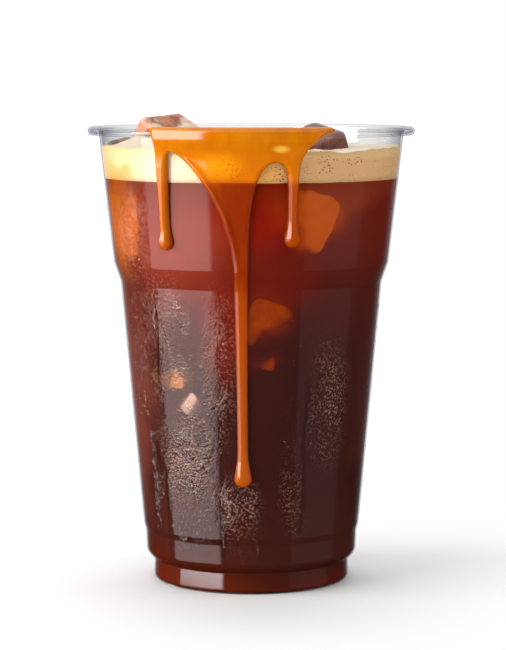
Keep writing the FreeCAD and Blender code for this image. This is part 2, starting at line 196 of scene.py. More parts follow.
class Shader(Nodes):
    """A node material."""

    def __init__(self, name):
        self.material = bpy.data.materials.new(name)
        self.material.use_nodes = True
        super().__init__(self.material.node_tree)
        self.surface = self.tree.nodes["Principled BSDF"]

    def set(self, **values):
        """Sets the principled surface's own sockets, with _ for the spaces in their names."""
        for key, value in values.items():
            self.feed(self.surface.inputs[key.replace("_", " ")], value)

    def show(self, surface):
        """Gives the material this surface in place of the principled one."""
        self.feed(self.tree.nodes["Material Output"].inputs["Surface"], surface)

    def glossy(self, **values):
        return self.node("BsdfGlossy", {"Color": (1, 1, 1, 1), **values}).outputs[0]

    def clear(self, tint):
        return self.node("BsdfTransparent", {"Color": tint}).outputs[0]

    def ramp(self, factor, *stops):
        """A colour ramp: stops are (position, colour or grey)."""
        node = self.node("ValToRGB", {0: factor})
        elements = node.color_ramp.elements
        while len(elements) < len(stops):
            elements.new(0.5)
        for element, (position, colour) in zip(elements, stops):
            element.position = position
            element.color = colour if isinstance(colour, tuple) else (colour, colour, colour, 1.0)
        return node.outputs[0]

    def mix(self, factor, a, b):
        return self.node("Mix", {0: factor, 6: a, 7: b}, data_type="RGBA").outputs[2]

    def place(self):
        return self.node("TexCoord").outputs["Object"]

    def vector(self, operation, a, b):
        return self.node("VectorMath", {0: a, 1: b}, operation=operation).outputs[0]

    def stretch(self, factors):
        return self.vector("MULTIPLY", self.place(), factors)

    def axis(self, name):
        return self.node("SeparateXYZ", {0: self.place()}).outputs[name]

    def noise(self, scale, detail, rough=0.55, vector=None):
        inputs = {"Vector": vector or self.place(), "Scale": scale, "Detail": detail, "Roughness": rough}
        return self.node("TexNoise", inputs).outputs["Fac"]

    def cells(self, scale):
        return self.node("TexVoronoi", {"Vector": self.place(), "Scale": scale}).outputs["Distance"]

    def bump(self, height, distance, strength):
        inputs = {"Height": height, "Distance": distance, "Strength": strength}
        return self.node("Bump", inputs).outputs[0]

    def attribute(self, name):
        return self.node("Attribute", attribute_name=name).outputs["Fac"]

    def ragged_place(self, scale, reach):
        """The place, pushed about by noise of up to reach metres."""
        inputs = {"Vector": self.place(), "Scale": scale, "Detail": 3.0}
        blur = self.node("TexNoise", inputs).outputs["Color"]
        centred = self.vector("ADD", blur, (-0.5, -0.5, -0.5))
        push = self.node("VectorMath", {0: centred, "Scale": reach * 2}, operation="SCALE").outputs[0]
        return self.vector("ADD", self.place(), push)

    def halo(self, centre, size, edge=0.0, place=None):
        """1 at a point in millimetres, falling to 0 at an ellipsoid of that half size round it."""
        shift = self.vector("ADD", place or self.place(), [-c * MM for c in centre])
        scaled = self.vector("MULTIPLY", shift, [1 / (s * MM) for s in size])
        length = self.node("VectorMath", {0: scaled}, operation="LENGTH").outputs["Value"]
        return self.ease(length, 1.0, edge)


def srgb(*levels):
    """A colour read as 0 to 255 display values, as linear light and full alpha."""
    shares = [level / 255 for level in levels]
    return tuple(c / 12.92 if c <= 0.04045 else ((c + 0.055) / 1.055) ** 2.4 for c in shares) + (1.0,)


# ---------------------------------------------------------------- the cup

# The middle line of the wall: (radius, level, bend), from the base panel out and up
WALL_LINE = [
    (23.15, 2.8, 1.2), (25.35, 0.3, 1.2), (28.45, 0.3, 1.2), (28.15, 6.3, 0.6), (30.5, 8.0, 3.0),
    (30.75, 14.6, 0.9), (31.3, 16.4, 0.9), (37.75, 87.7, 2.0), (39.7, 93.3, 2.0),
]
MOUTH = (44.1, CUP_HEIGHT - HALF_WALL)
GROOVE_LEVEL = 15.6
LIP = [
    MOUTH + (0.8,),
    (RIM_RADIUS - HALF_WALL, CUP_HEIGHT - HALF_WALL, 0.8),
    (RIM_RADIUS - HALF_WALL, CUP_HEIGHT - 2.0, 0.8),
    (RIM_RADIUS - 2.0, CUP_HEIGHT - 2.0, 0.0),
]
# The vent under the foot's ring, whose ends rise and fall over its ease
VENT = {"angle": -56.6, "inner_radius": 24.5, "half_width": 2.5, "ease": 0.8, "height": 1.0, "top": 1.6}


def wall_profile(shift):
    """The wall's middle line from the axis to the mouth, moved outwards by shift."""
    line, normals = rounded_line([(0.0, 2.8, 0.0)] + WALL_LINE + [MOUTH + (0.0,)])
    return line + normals * shift


def skin_radius(level, shift=HALF_WALL):
    """The radius at a level above the foot, shift away from the wall's middle line."""
    outer = wall_profile(shift)
    above = outer[outer[:, 1] > 6.5]
    order = np.argsort(above[:, 1])
    return np.interp(level, above[order, 1], above[order, 0])


def make_cup(material):
    line, normals = rounded_line([(0.0, 2.8, 0.0)] + WALL_LINE + LIP, 6)
    outer, inner = line + normals * HALF_WALL, line - normals * HALF_WALL
    way = line[-1] - line[-2]
    way /= np.linalg.norm(way)
    tip = [
        line[-1] + HALF_WALL * (normals[-1] * math.cos(a) + way * math.sin(a))
        for a in np.linspace(0, math.pi, 6)[1:-1]
    ]
    outline = np.concatenate([outer, tip, inner[::-1]])
    cup = revolve("cup_clear", outline, 320, material)
    vent = math.radians(VENT["angle"])
    for vertex in cup.data.vertices:
        x, y, z = (c / MM for c in vertex.co)
        radius = math.hypot(x, y)
        if radius > VENT["inner_radius"] and z < VENT["top"]:
            within = VENT["half_width"] + VENT["ease"] / 2 - abs((math.atan2(x, -y) - vent) * radius)
            rise = np.clip(within / VENT["ease"], 0, 1) * (1 - z / VENT["top"])
            vertex.co.z += float(rise) * VENT["height"] * MM
    weigh_normals(cup)
    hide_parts("cup")
    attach(cup, "root")


# Where the wall is misted: (centre, half size, strength)
MIST_PATCHES = (
    ((-34, -22, 104), (9, 18, 22), 1),
    ((-25, -28, 72), (13, 22, 26), 0.8),
    ((-19, -28, 40), (12, 20, 22), 1.1),
    ((-9, -34, 66), (8, 20, 30), 0.7),
    ((-5, -32, 26), (10, 16, 12), 1),
    ((22, -28, 55), (9, 18, 26), 0.45),
    ((12, -32, 30), (6, 16, 22), 0.35),
)

# Dark runs wiped through the mist: (angle from the front, lower level, upper level, half width)
WIPED = (
    (-47, 60, 86, 0.6),
    (-47.5, 9, 36, 0.9),
    (-16.5, 9, 54, 0.8),
    (-52, 34, 43, 1.1),
    (26, 18, 62, 0.8),
)


def wiped_runs(shader):
    """1 in the wet runs that bigger drops have left through the mist."""
    x, y = shader.axis("X"), shader.times(shader.axis("Y"), -1.0)
    sway = shader.math("MULTIPLY_ADD", shader.noise(60.0, 2.0), 0.12, -0.06)
    angle = shader.math("ADD", shader.math("ARCTAN2", x, y), sway)
    runs = 0.0
    for middle, low, high, half in WIPED:
        off = shader.math("ABSOLUTE", shader.math("SUBTRACT", angle, math.radians(middle)))
        run = shader.fade(off, half / 30, half / 70)
        above = shader.math("GREATER_THAN", shader.axis("Z"), low * MM)
        below = shader.math("LESS_THAN", shader.axis("Z"), high * MM)
        run = shader.times(run, shader.times(above, below))
        runs = shader.most(run, runs)
    return shader.times(runs, shader.ramp(shader.noise(330.0, 2.0), (0.3, 0.4), (0.5, 1.0)))


def mist(shader):
    """How thickly fine drops lie on the wall, in ragged patches with wet runs through them."""
    patch = 0.0
    for centre, size, strength in MIST_PATCHES:
        here = shader.times(shader.halo(centre, size), strength)
        patch = shader.most(here, patch)
    streaks = shader.noise(150.0, 4.0, 0.5, shader.stretch((1.0, 1.0, 0.45)))
    patch = shader.times(patch, shader.ramp(streaks, (0.36, 0.2), (0.56, 1.0)))
    return shader.times(patch, shader.math("SUBTRACT", 1.0, wiped_runs(shader)))


# The share of light that a clear surface mirrors straight on, and how much more it does edge-on
WALL_MIRROR, DROPLET_MIRROR = 0.04, 0.05
EDGE_MIRROR = 0.18


def mirror_share(shader, straight_on):
    """How far the surface is seen edge-on, and the share that it mirrors, from either side."""
    facing = shader.node("LayerWeight", {"Blend": 0.5}).outputs["Facing"]
    return facing, shader.math("MULTIPLY_ADD", shader.math("POWER", facing, 5.0), EDGE_MIRROR, straight_on)


def clear_plastic():
    """Thin clear plastic: light goes straight through, edges seen side-on go grey."""
    shader = Shader("clear_plastic")
    facing, share = mirror_share(shader, WALL_MIRROR)
    side_on = shader.math("POWER", facing, 4.0)
    tint = shader.ramp(side_on, (0.0, srgb(254, 254, 254)), (1.0, srgb(188, 191, 198)))
    gathered = mist(shader)
    small = shader.ramp(shader.cells(1300.0), (0.1, 1.0), (0.5, 0.0))
    large = shader.ramp(shader.cells(650.0), (0.1, 1.0), (0.45, 0.0))
    domes = shader.math("ADD", small, large)
    drops = shader.bump(shader.times(domes, gathered), 0.0003, 0.5)
    rough = shader.math("MULTIPLY_ADD", gathered, 0.16, 0.05, clamp=True)
    shader.show(shader.blend(share, shader.clear(tint), shader.glossy(Roughness=rough, Normal=drops)))
    return shader.material


# ---------------------------------------------------------------- the drink

# Low swells of the foam's top: (x, y, height, spread)
SWELLS = (
    (-31, -12, 3, 5.5),
    (-30, 22, 1.6, 7),
    (24, -32, -1.1, 5),
    (38, 8, 0.5, 9),
    (6, 30, -0.5, 10),
    (-10, -28, 0.4, 9),
)

# Where the foam's side is pitted with open bubbles: (centre, half size)
PITTED = (
    ((21, -38, 122.5), (5, 14, 4)),
    ((8, -43, 120.5), (5, 14, 3.4)),
    ((29, -33, 123.5), (5, 14, 1.6)),
    ((14, 34, 122), (9, 20, 4)),
)

# Painted light in the coffee, glows where light comes through the ice and the thin coffee at its sides:
# (centre, half size, colour, strength)
GLOWS = (
    ((2, -40, 109), (26, 26, 16), srgb(140, 18, 0), 0.85),
    ((24, -34, 113.5), (26, 26, 7), srgb(140, 52, 10), 0.7),
    ((15, -37, 109), (12, 22, 8), srgb(172, 62, 4), 0.5),
    ((20, -36, 107), (12, 22, 6.5), srgb(172, 66, 4), 0.4),
    ((16, -36, 103), (8, 22, 6), srgb(172, 62, 4), 0.7),
    ((0, -42, 90), (30, 30, 14), srgb(116, 20, 6), 0.6),
    ((4.5, -38, 81), (10, 18, 10), srgb(118, 34, 2), 0.55),
    ((8.5, -38, 79), (6, 18, 9), srgb(130, 42, 4), 0.4),
    ((3.5, -38, 68.5), (8, 18, 2.4), srgb(118, 34, 8), 0.3),
    ((-38, -18, 108), (10, 22, 24), srgb(186, 92, 14), 0.8),
    ((-20, -33, 102), (24, 28, 26), srgb(140, 50, 30), 0.75),
    ((-26, -28, 62.5), (6.5, 12, 3.2), srgb(150, 84, 40), 0.3),
    ((-20, -30, 62.5), (5.5, 12, 4), srgb(140, 80, 50), 0.3),
    ((-17, -31, 55), (4.6, 12, 3.2), srgb(150, 100, 88), 0.3),
    ((-8, -37, 76), (10, 20, 22), srgb(120, 30, 14), 0.65),
    ((-36, -10, 55), (12, 24, 50), srgb(128, 62, 46), 0.55),
    ((36, -10, 50), (10, 24, 50), srgb(84, 40, 32), 0.5),
    ((30, 24, 100), (16, 18, 12), srgb(150, 54, 6), 0.6),
    ((-20, 33, 80), (14, 16, 13), srgb(130, 44, 6), 0.6),
    ((14, 33, 50), (11, 14, 10), srgb(112, 36, 6), 0.5),
)


def coffee_colour(shader):
    level = shader.math("DIVIDE", shader.axis("Z"), COFFEE_LEVEL * MM)
    wobble = shader.math("MULTIPLY_ADD", shader.noise(24.0, 3.0), 0.24, -0.12)
    level = shader.math("ADD", level, wobble, clamp=True)
    colour = shader.ramp(
        level, (0.0, srgb(92, 26, 6)), (0.06, srgb(74, 23, 8)), (0.11, srgb(66, 26, 18)),
        (0.3, srgb(56, 21, 17)), (0.55, srgb(58, 22, 18)), (0.75, srgb(78, 22, 14)),
        (1.0, srgb(110, 28, 10)),
    )
    ragged = shader.ragged_place(80.0, 0.005)
    # painted glows of light coming through the ice and the coffee
    for centre, size, glow, strength in GLOWS:
        factor = shader.times(shader.halo(centre, size, 0.25, ragged), strength, clamp=True)
        colour = shader.mix(factor, colour, glow)
    start, stop = (COFFEE_LEVEL - 4.6) * MM, (COFFEE_LEVEL - 4.2) * MM
    under_foam = shader.fade(shader.axis("Z"), start, stop, 0.0, 0.35)
    return shader.mix(under_foam, colour, srgb(132, 40, 10))


def behind_mist(shader, colour):
    """The colour seen through the wall's mist with painted highlights and painted shade on its drops, its
    wet runs and the groove's line.
    """
    gathered = mist(shader)
    fine = shader.ramp(shader.cells(1500.0), (0.12, 1.0), (0.42, 0.0))
    coarse = shader.ramp(shader.cells(800.0), (0.16, 1.0), (0.36, 0.0))
    dots = shader.most(fine, shader.times(coarse, 0.8))
    # The mist's pale dots: its own whitish haze, with painted highlights of its drops
    pale = shader.times(shader.times(gathered, dots), 0.9, clamp=True)
    colour = shader.mix(pale, colour, srgb(220, 168, 140))
    # Painted shade: dark dots among the drops
    shade = shader.ramp(shader.cells(1500.0), (0.5, 0.0), (0.8, 1.0))
    shade = shader.times(shader.times(gathered, shade), 0.55, clamp=True)
    colour = shader.mix(shade, colour, srgb(44, 14, 10))
    runs = shader.times(wiped_runs(shader), 0.75)
    colour = shader.mix(runs, colour, srgb(42, 12, 6))
    near = shader.math("ABSOLUTE", shader.math("SUBTRACT", shader.axis("Z"), GROOVE_LEVEL * MM))
    groove = shader.fade(near, 0.5 * MM, 0.2 * MM)
    lit = shader.halo((-14.5, -27.0, GROOVE_LEVEL), (9.5, 12.0, 4.0), 0.7)
    groove = shader.times(groove, lit)
    return shader.mix(shader.times(groove, 0.75), colour, srgb(44, 14, 6))


def coffee_material():
    shader = Shader("coffee")
    colour = behind_mist(shader, coffee_colour(shader))
    shader.set(Base_Color=colour, Roughness=0.42, IOR=1.33, Specular_IOR_Level=0.1)
    return shader.material


def make_coffee(material):
    side = wall_profile(INTO_WALL - HALF_WALL)
    below = side[side[:, 1] < COFFEE_LEVEL]
    top_radius = float(np.interp(COFFEE_LEVEL, side[-2:, 1], side[-2:, 0]))
    outline = np.concatenate([below, [(top_radius, COFFEE_LEVEL), (0.0, COFFEE_LEVEL)]])
    coffee = revolve("coffee_drink", outline, 192, material)
    weigh_normals(coffee)
    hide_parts("coffee")
    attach(coffee, "root")


# Ice under the foam that touches the wall: angle from the front, level and side of the block,
# its turns, how far it would reach beyond the wall, its tone from deep amber to whitish, detail
SUNK_ICE = (
    (20.5, 109.5, 24, (14, 24, 8), 3.7, 0.32, 6),
    (8, 79.5, 18, (25, 14, 30), 3, 0.08, 6),
    (6, 68, 10, (6, 20, 80), 1, 0.04, 5),
    (-62, 105, 24, (12, 14, 10), 3.6, 0.4, 6),
    (-38, 62.5, 12, (70, 12, 20), 1.8, 0.62, 5),
    (-29.5, 55, 8, (24, 30, 15), 1.5, 1, 5),
    (140, 98, 20, (25, 30, 40), 2, 0.3, 5),
    (-150, 78, 18, (40, 15, 20), 1.8, 0.25, 5),
    (98, 52, 15, (15, 45, 35), 1.3, 0.2, 5),
)
# A block's sides as shares of its size, the power that squares its shape, and how it is worn
SUNK_SIDES = (0.5, 0.46, 0.42)
SQUARENESS = 7
SUNK_WEAR = 0.07
# How far the flattened ice stands proud of the coffee, and the depth over which it fades out
SUNK_PROUD = 0.05
FADE = 0.9


def sunk_ice_material():
    """Amber ice that fades into the coffee where it leaves the wall."""
    shader = Shader("sunk_ice")
    coffee = coffee_colour(shader)
    ice = shader.ramp(
        shader.attribute("tone"),
        (0.0, srgb(142, 46, 4)), (0.36, srgb(188, 82, 8)),
        (0.66, srgb(200, 130, 58)), (1.0, srgb(216, 168, 152)),
    )
    veins = shader.ramp(shader.noise(190.0, 3.0), (0.34, 0.55), (0.6, 1.0))
    shown = shader.times(shader.times(shader.attribute("pressed"), veins), 0.85)
    colour = behind_mist(shader, shader.mix(shown, coffee, ice))
    shader.set(Base_Color=colour, Roughness=0.42, IOR=1.31, Specular_IOR_Level=0.1)
    return shader.material


def make_sunk_ice(material):
    """Worn blocks of ice in the coffee, flattened where they press on the wall."""
    points, faces, pressed, tones = [], [], [], []
    for angle, level, side, turns, reach, tone, detail in SUNK_ICE:
        ball = bmesh.new()
        bmesh.ops.create_icosphere(ball, subdivisions=detail, radius=1.0)
        block = np.array([vertex.co for vertex in ball.verts])
        corners = [[vertex.index for vertex in face.verts] for face in ball.faces]
        ball.free()
        block /= ((np.abs(block) ** SQUARENESS).sum(1) ** (1 / SQUARENESS))[:, None]
        block *= np.array(SUNK_SIDES) * side
        block = block @ np.array(Euler([math.radians(turn) for turn in turns]).to_matrix()).T
        seed = Vector((level, 0.0, 0.0))
        dents = np.array([noise.noise(Vector(point) * 0.22 + seed) for point in block])
        block *= (1 + SUNK_WEAR * dents)[:, None]
        way = np.array((math.sin(math.radians(angle)), -math.cos(math.radians(angle)), 0.0))
        # the block moves out from the axis until it reaches that far beyond the wall
        distance = 20.0
        for _ in range(12):
            place = block + way * distance + np.array((0.0, 0.0, level))
            place[:, 2] = np.minimum(place[:, 2], COFFEE_LEVEL - 0.6)
            wall = skin_radius(place[:, 2], INTO_WALL - HALF_WALL + SUNK_PROUD)
            beyond = np.hypot(place[:, 0], place[:, 1]) - wall
            distance += reach - beyond.max()
        over = np.maximum(beyond, 0.0)
        place[:, :2] *= (wall / (wall + over))[:, None]
        faces += [tuple(k + len(pressed) for k in face) for face in corners]
        points.append(place)
        pressed += list(np.clip(over / FADE, 0, 1))
        tones += [tone] * len(place)
    ice = new_object("sunk_ice", np.concatenate(points), faces, material)
    add_attribute(ice, "pressed", pressed)
    add_attribute(ice, "tone", tones)
    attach(ice, "root")


def foam_height(x, y):
    level = COFFEE_LEVEL + FOAM_DEPTH
    for swell_x, swell_y, height, spread in SWELLS:
        level += height * math.exp(-((x - swell_x) ** 2 + (y - swell_y) ** 2) / (2 * spread**2))
    return level


def foam_material():
    shader = Shader("foam")
    # Colour across the foam from left to right: its warm tone, with a painted reflection as the whiter band
    # left of the middle
    tone_and_reflection = shader.ramp(
        shader.math("MULTIPLY_ADD", shader.axis("X"), 11.0, 0.5, clamp=True),
        (0.0, srgb(238, 184, 116)), (0.25, srgb(246, 222, 186)), (0.5, srgb(230, 164, 78)),
        (0.66, srgb(206, 160, 108)), (1.0, srgb(204, 160, 112)),
    )
    height = shader.math("DIVIDE", shader.axis("Z"), MM)
    near_coffee = shader.fade(height, COFFEE_LEVEL + 0.9, COFFEE_LEVEL)
    colour = shader.mix(shader.times(near_coffee, 0.35), tone_and_reflection, srgb(190, 140, 90))
    crown = shader.fade(height, COFFEE_LEVEL + 6.0, COFFEE_LEVEL + 9.0, 0.0, 0.5)
    colour = shader.mix(crown, colour, srgb(236, 212, 150))
    # Painted light from above: where the foam's top faces up it is made paler
    upward = shader.node("SeparateXYZ", {0: shader.node("NewGeometry").outputs["Normal"]}).outputs["Z"]
    painted_top_light = shader.times(shader.ramp(upward, (0.75, 0.0), (0.97, 1.0)), 0.8)
    colour = shader.mix(painted_top_light, colour, srgb(238, 228, 210))
    corner = shader.halo((-38.0, -20.0, 119.0), (9.0, 20.0, 4.5), 0.2, shader.ragged_place(160.0, 0.004))
    colour = shader.mix(shader.times(corner, 0.7), colour, srgb(226, 158, 60))
    patches = shader.math("GREATER_THAN", shader.noise(110.0, 2.0), 0.54)
    bubbles = shader.math("LESS_THAN", shader.cells(1500.0), 0.2)
    specks = shader.times(patches, bubbles)
    dots = shader.math("LESS_THAN", shader.cells(1150.0), 0.3)
    for centre, size in PITTED:
        close = shader.halo(centre, size, 0.0, shader.ragged_place(300.0, 0.002))
        here = shader.math("GREATER_THAN", close, 0.25)
        specks = shader.most(specks, shader.times(dots, here))
    colour = shader.mix(shader.times(specks, 0.8), colour, srgb(112, 60, 26))
    fine = shader.times(shader.cells(2600.0), 0.5)
    shader.set(Base_Color=colour, Roughness=0.55, Specular_IOR_Level=0.25)
    shader.set(Normal=shader.bump(fine, 0.0002, 0.5))
    shader.set(Subsurface_Weight=0.25, Subsurface_Radius=(1.0, 0.6, 0.35), Subsurface_Scale=0.003)
    return shader.material


def make_foam(material):
    """A disc with the wavy top; its side reaches just into the wall and the wet edge climbs it."""
    side = wall_profile(INTO_WALL - HALF_WALL)
    segments, rings = 360, 64
    points, rows, faces = [], [], []

    def wall(level):
        return float(np.interp(level, side[-2:, 1], side[-2:, 0]))

    def add_row(radius, level_of):
        rows.append(len(points))
        for k in range(segments):
            a = TAU * k / segments
            x, y = radius * math.sin(a), -radius * math.cos(a)
            points.append((x, y, level_of(x, y)))

    def top_level(x, y):
        waves = noise.noise(Vector((x * 0.22, y * 0.22, 3.1)))
        ripples = noise.noise(Vector((x * 0.8, y * 0.8, 1.7)))
        climb = 0.25 * math.exp(-(edge - math.hypot(x, y)) / 0.7)
        return foam_height(x, y) + (waves * 0.5 + ripples * 0.16) + climb

    def wet_line(x, y):
        return COFFEE_LEVEL + 0.12 * noise.noise(Vector((x * 0.5, y * 0.5, 9.0)))

    edge = wall(COFFEE_LEVEL + FOAM_DEPTH)
    add_row(wall(COFFEE_LEVEL) * 0.4, lambda x, y: COFFEE_LEVEL)
    add_row(wall(COFFEE_LEVEL), wet_line)
    for share in (0.25, 0.5, 0.75):
        level = COFFEE_LEVEL + FOAM_DEPTH * share
        add_row(wall(level), lambda x, y: level)
    for i in range(rings):
        add_row(edge * (1 - i / rings) ** 0.8, top_level)
    pole = len(points)
    points.append((0.0, 0.0, top_level(0.0, 0.0)))
    bottom = len(points)
    points.append((0.0, 0.0, COFFEE_LEVEL))
    for low, high in zip(rows, rows[1:]):
        faces += [(low + k, low + n, high + n, high + k) for k, n in around(segments)]
    faces += [(rows[-1] + k, rows[-1] + n, pole) for k, n in around(segments)]
    faces += [(rows[0] + n, rows[0] + k, bottom) for k, n in around(segments)]
    foam = new_object("foam_head", points, faces, material)
    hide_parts("foam")
    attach(foam, "root")


# ---------------------------------------------------------------- the ice


def ice_material(name, clear, deep, frost, patches, frost_amount):
    """Wet ice over coffee: brown where it is clear, whitish where it is frosted or on its edges."""
    shader = Shader(name)
    veins = shader.noise(420.0, 4.0, 0.65)
    blotch = shader.ramp(shader.noise(260.0, 3.0), (0.38, 0.0), (0.6, 1.0))
    colour = shader.mix(blotch, deep, clear)
    white = shader.times(shader.attribute("edge"), 0.6)
    for centre, size, strength in patches:
        close = shader.halo(centre, size, 0.6, shader.ragged_place(300.0, 0.002))
        here = shader.times(close, strength)
        white = shader.most(white, here)
    white = shader.times(white, shader.ramp(veins, (0.36, 0.55), (0.6, 1.0)), clamp=True)
    colour = shader.mix(shader.times(white, frost_amount), colour, frost)
    shader.set(Base_Color=colour, Roughness=0.12, IOR=1.31, Normal=shader.bump(veins, 0.0005, 0.7))
    shader.set(Transmission_Weight=0.15, Coat_Weight=0.3, Coat_Roughness=0.03)
    return shader.material


def make_ice(node, material, rough=0.5, worn=4):
    """The node's block, remeshed and worn a little uneven, with its worn edges marked."""
    block = add_object(node + "_piece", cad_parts[node].data.copy())
    remesh = block.modifiers.new("remesh", "REMESH")
    remesh.mode = "VOXEL"
    remesh.voxel_size = 0.0005
    smooth = block.modifiers.new("smooth", "SMOOTH")
    smooth.iterations = worn
    mesh = bpy.data.meshes.new_from_object(block.evaluated_get(bpy.context.evaluated_depsgraph_get()))
    block.modifiers.clear()
    block.data = mesh
    mesh.materials.clear()
    mesh.materials.append(material)
    seed = Vector((sum(ord(letter) for letter in node) % 17, 0.0, 0.0))
    normals = [v.normal.copy() for v in mesh.vertices]
    sharp = np.zeros(len(mesh.vertices))
    count = np.zeros(len(mesh.vertices))
    for edge in mesh.edges:
        a, b = edge.vertices
        bend = 1 - normals[a].dot(normals[b])
        for k in (a, b):
            sharp[k] += bend
            count[k] += 1
    sharp = np.clip(sharp / np.maximum(count, 1) * 40, 0, 1)
    for vertex, normal in zip(mesh.vertices, normals):
        place = vertex.co / MM
        dent = noise.noise(place * 0.12 + seed) * 1.1 + noise.noise(place * 0.45 + seed) * 0.35
        vertex.co += normal * (min(dent, 0.0) * rough * MM)
    add_attribute(block, "edge", sharp)
    mesh.polygons.foreach_set("use_smooth", [True] * len(mesh.polygons))
    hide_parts(node)
    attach(block, "root")


# ---------------------------------------------------------------- the caramel

# The path the caramel follows down the cup: over the rim, across the throat and down the wall
PATH = [
    (45.0, CUP_HEIGHT, 0.0), (RIM_RADIUS, CUP_HEIGHT, 1.0), (RIM_RADIUS, CUP_HEIGHT - 2.6, 0.9),
    (44.3, 125.6, 9.0), (40.0, 93.3, 2.0), (38.05, 87.7, 2.0), (31.5, 16.4, 0.0),
]
# A drip seen from the front: the x of its middle and its level at the top and at the end, and
# its half width at the top, at its neck and across its bulb
DRIPS = {
    "left": {"top": (-24.7, 123.0), "end": (-23.6, 98.7), "half": 1.75, "neck": 1.2, "bulb": 1.9},
    "middle": {"top": (-2.8, 91.0), "end": (-2.3, 31.7), "half": 2.0, "neck": 1.5, "bulb": 2.5},
    "right": {"top": (11.6, 117.0), "end": (11.2, 99.8), "half": 1.5, "neck": 1.3, "bulb": 2.15},
}
POUR_LEFT, POUR_RIGHT = -28.4, 22.8
LEFT_ARCH, RIGHT_ARCH = (-22.0, 126.4), (7.1, 123.4)
# The pour is laid out on a flat sheet, unrolled at one radius whatever the level
SHEET_RADIUS = 42.0
# How far the syrup's back lies inside its path, and how wide its rounded edge is
SYRUP_SINK = 0.12
SYRUP_ROLL = 1.5
# The levels at the two ends of its ramp of colours
SYRUP_LOW, SYRUP_TOP = 30, 134
# Its thickness from the lowest drip up to the rim
FILM_LEVELS = (40, 95, 112, 124, 129, 131)
FILM = (1.25, 1.25, 1.05, 0.95, 0.95, 0.8)


def drip_outline(drip, steps=24):
    """Down a drip's left side, round its bulb and up its right side."""
    (top_x, top), (end_x, end), bulb = drip["top"], drip["end"], drip["bulb"]
    middle = end + bulb
    levels = np.linspace(top, middle, steps)
    share = (levels - middle) / (top - middle)
    swell = (bulb - drip["neck"]) * np.exp(-(((levels - middle) / (1.5 * bulb)) ** 2))
    half = drip["neck"] + (drip["half"] - drip["neck"]) * share**2 + swell
    centre = end_x + (top_x - end_x) * share
    turn = np.linspace(0, math.pi, 16)[1:-1]
    round_end = np.stack([end_x - bulb * np.cos(turn), middle - bulb * np.sin(turn)], 1)
    left, right = np.stack([centre - half, levels], 1), np.stack([centre + half, levels], 1)
    return np.concatenate([left, round_end, right[::-1]])


def bent(start, first_pull, second_pull, stop, steps=24):
    """A cubic curve between two points, without its ends."""
    t = np.linspace(0, 1, steps)[1:-1, None]
    start, first_pull, second_pull, stop = (np.array(p) for p in (start, first_pull, second_pull, stop))
    s = 1 - t
    first_half = s**3 * start + 3 * s**2 * t * first_pull
    return first_half + 3 * s * t**2 * second_pull + t**3 * stop


def pour_outline():
    """The pour's closed outline, seen from the front: (x, level), from the left end of the rim."""
    left, middle, right = (drip_outline(DRIPS[name]) for name in ("left", "middle", "right"))
    left_tip, right_tip = (POUR_LEFT, CUP_HEIGHT), (POUR_RIGHT, CUP_HEIGHT)
    arch_x, arch = LEFT_ARCH
    return np.concatenate([
        [(POUR_LEFT + 0.2, CUP_HEIGHT + 2.4), left_tip],
        bent(left_tip, (-27.2, 130.2), (-26.6, 129.0), left[0]),
        left,
        bent(left[-1], left[-1] + (0, 1.8), (arch_x - 0.9, arch), LEFT_ARCH, 10),
        [LEFT_ARCH],
        bent(LEFT_ARCH, (arch_x + 2.8, arch - 0.4), (-5.2, 111.5), middle[0]),
        middle,
        bent(middle[-1], middle[-1] + (0, 17.0), (0.2, RIGHT_ARCH[1]), RIGHT_ARCH),
        [RIGHT_ARCH],
        bent(RIGHT_ARCH, (9.0, RIGHT_ARCH[1]), (9.9, 121.0), right[0], 12),
        right,
        bent(right[-1], right[-1] + (0.1, 9.0), (15.8, 128.6), right_tip),
        [right_tip, (POUR_RIGHT - 0.2, CUP_HEIGHT + 2.4)],
    ])


def distance_inside(points, outline, batch=4000):
    """Distance from each point to the closed outline, positive inside it, and the nearest place on it."""
    start, stop = outline, np.roll(outline, -1, axis=0)
    way = stop - start
    length = np.maximum((way**2).sum(1), 1e-12)
    slope = way[:, 0] / np.where(np.abs(way[:, 1]) < 1e-12, 1e-12, way[:, 1])
    result = np.empty(len(points))
    nearest = np.empty((len(points), 2))
    for i in range(0, len(points), batch):
        part = slice(i, i + batch)
        p = points[part, None]
        t = np.clip(((p - start) * way).sum(2) / length, 0, 1)
        foot = start + way * t[..., None]
        gap = np.linalg.norm(p - foot, axis=2)
        best = np.arange(len(p)), gap.argmin(1)
        nearest[part] = foot[best]
        crosses = (start[:, 1] > p[..., 1]) != (stop[:, 1] > p[..., 1])
        x_at = start[:, 0] + (p[..., 1] - start[:, 1]) * slope
        inside = (crosses & (p[..., 0] < x_at)).sum(1) % 2
        result[part] = np.where(inside == 1, gap[best], -gap[best])
    return result, nearest


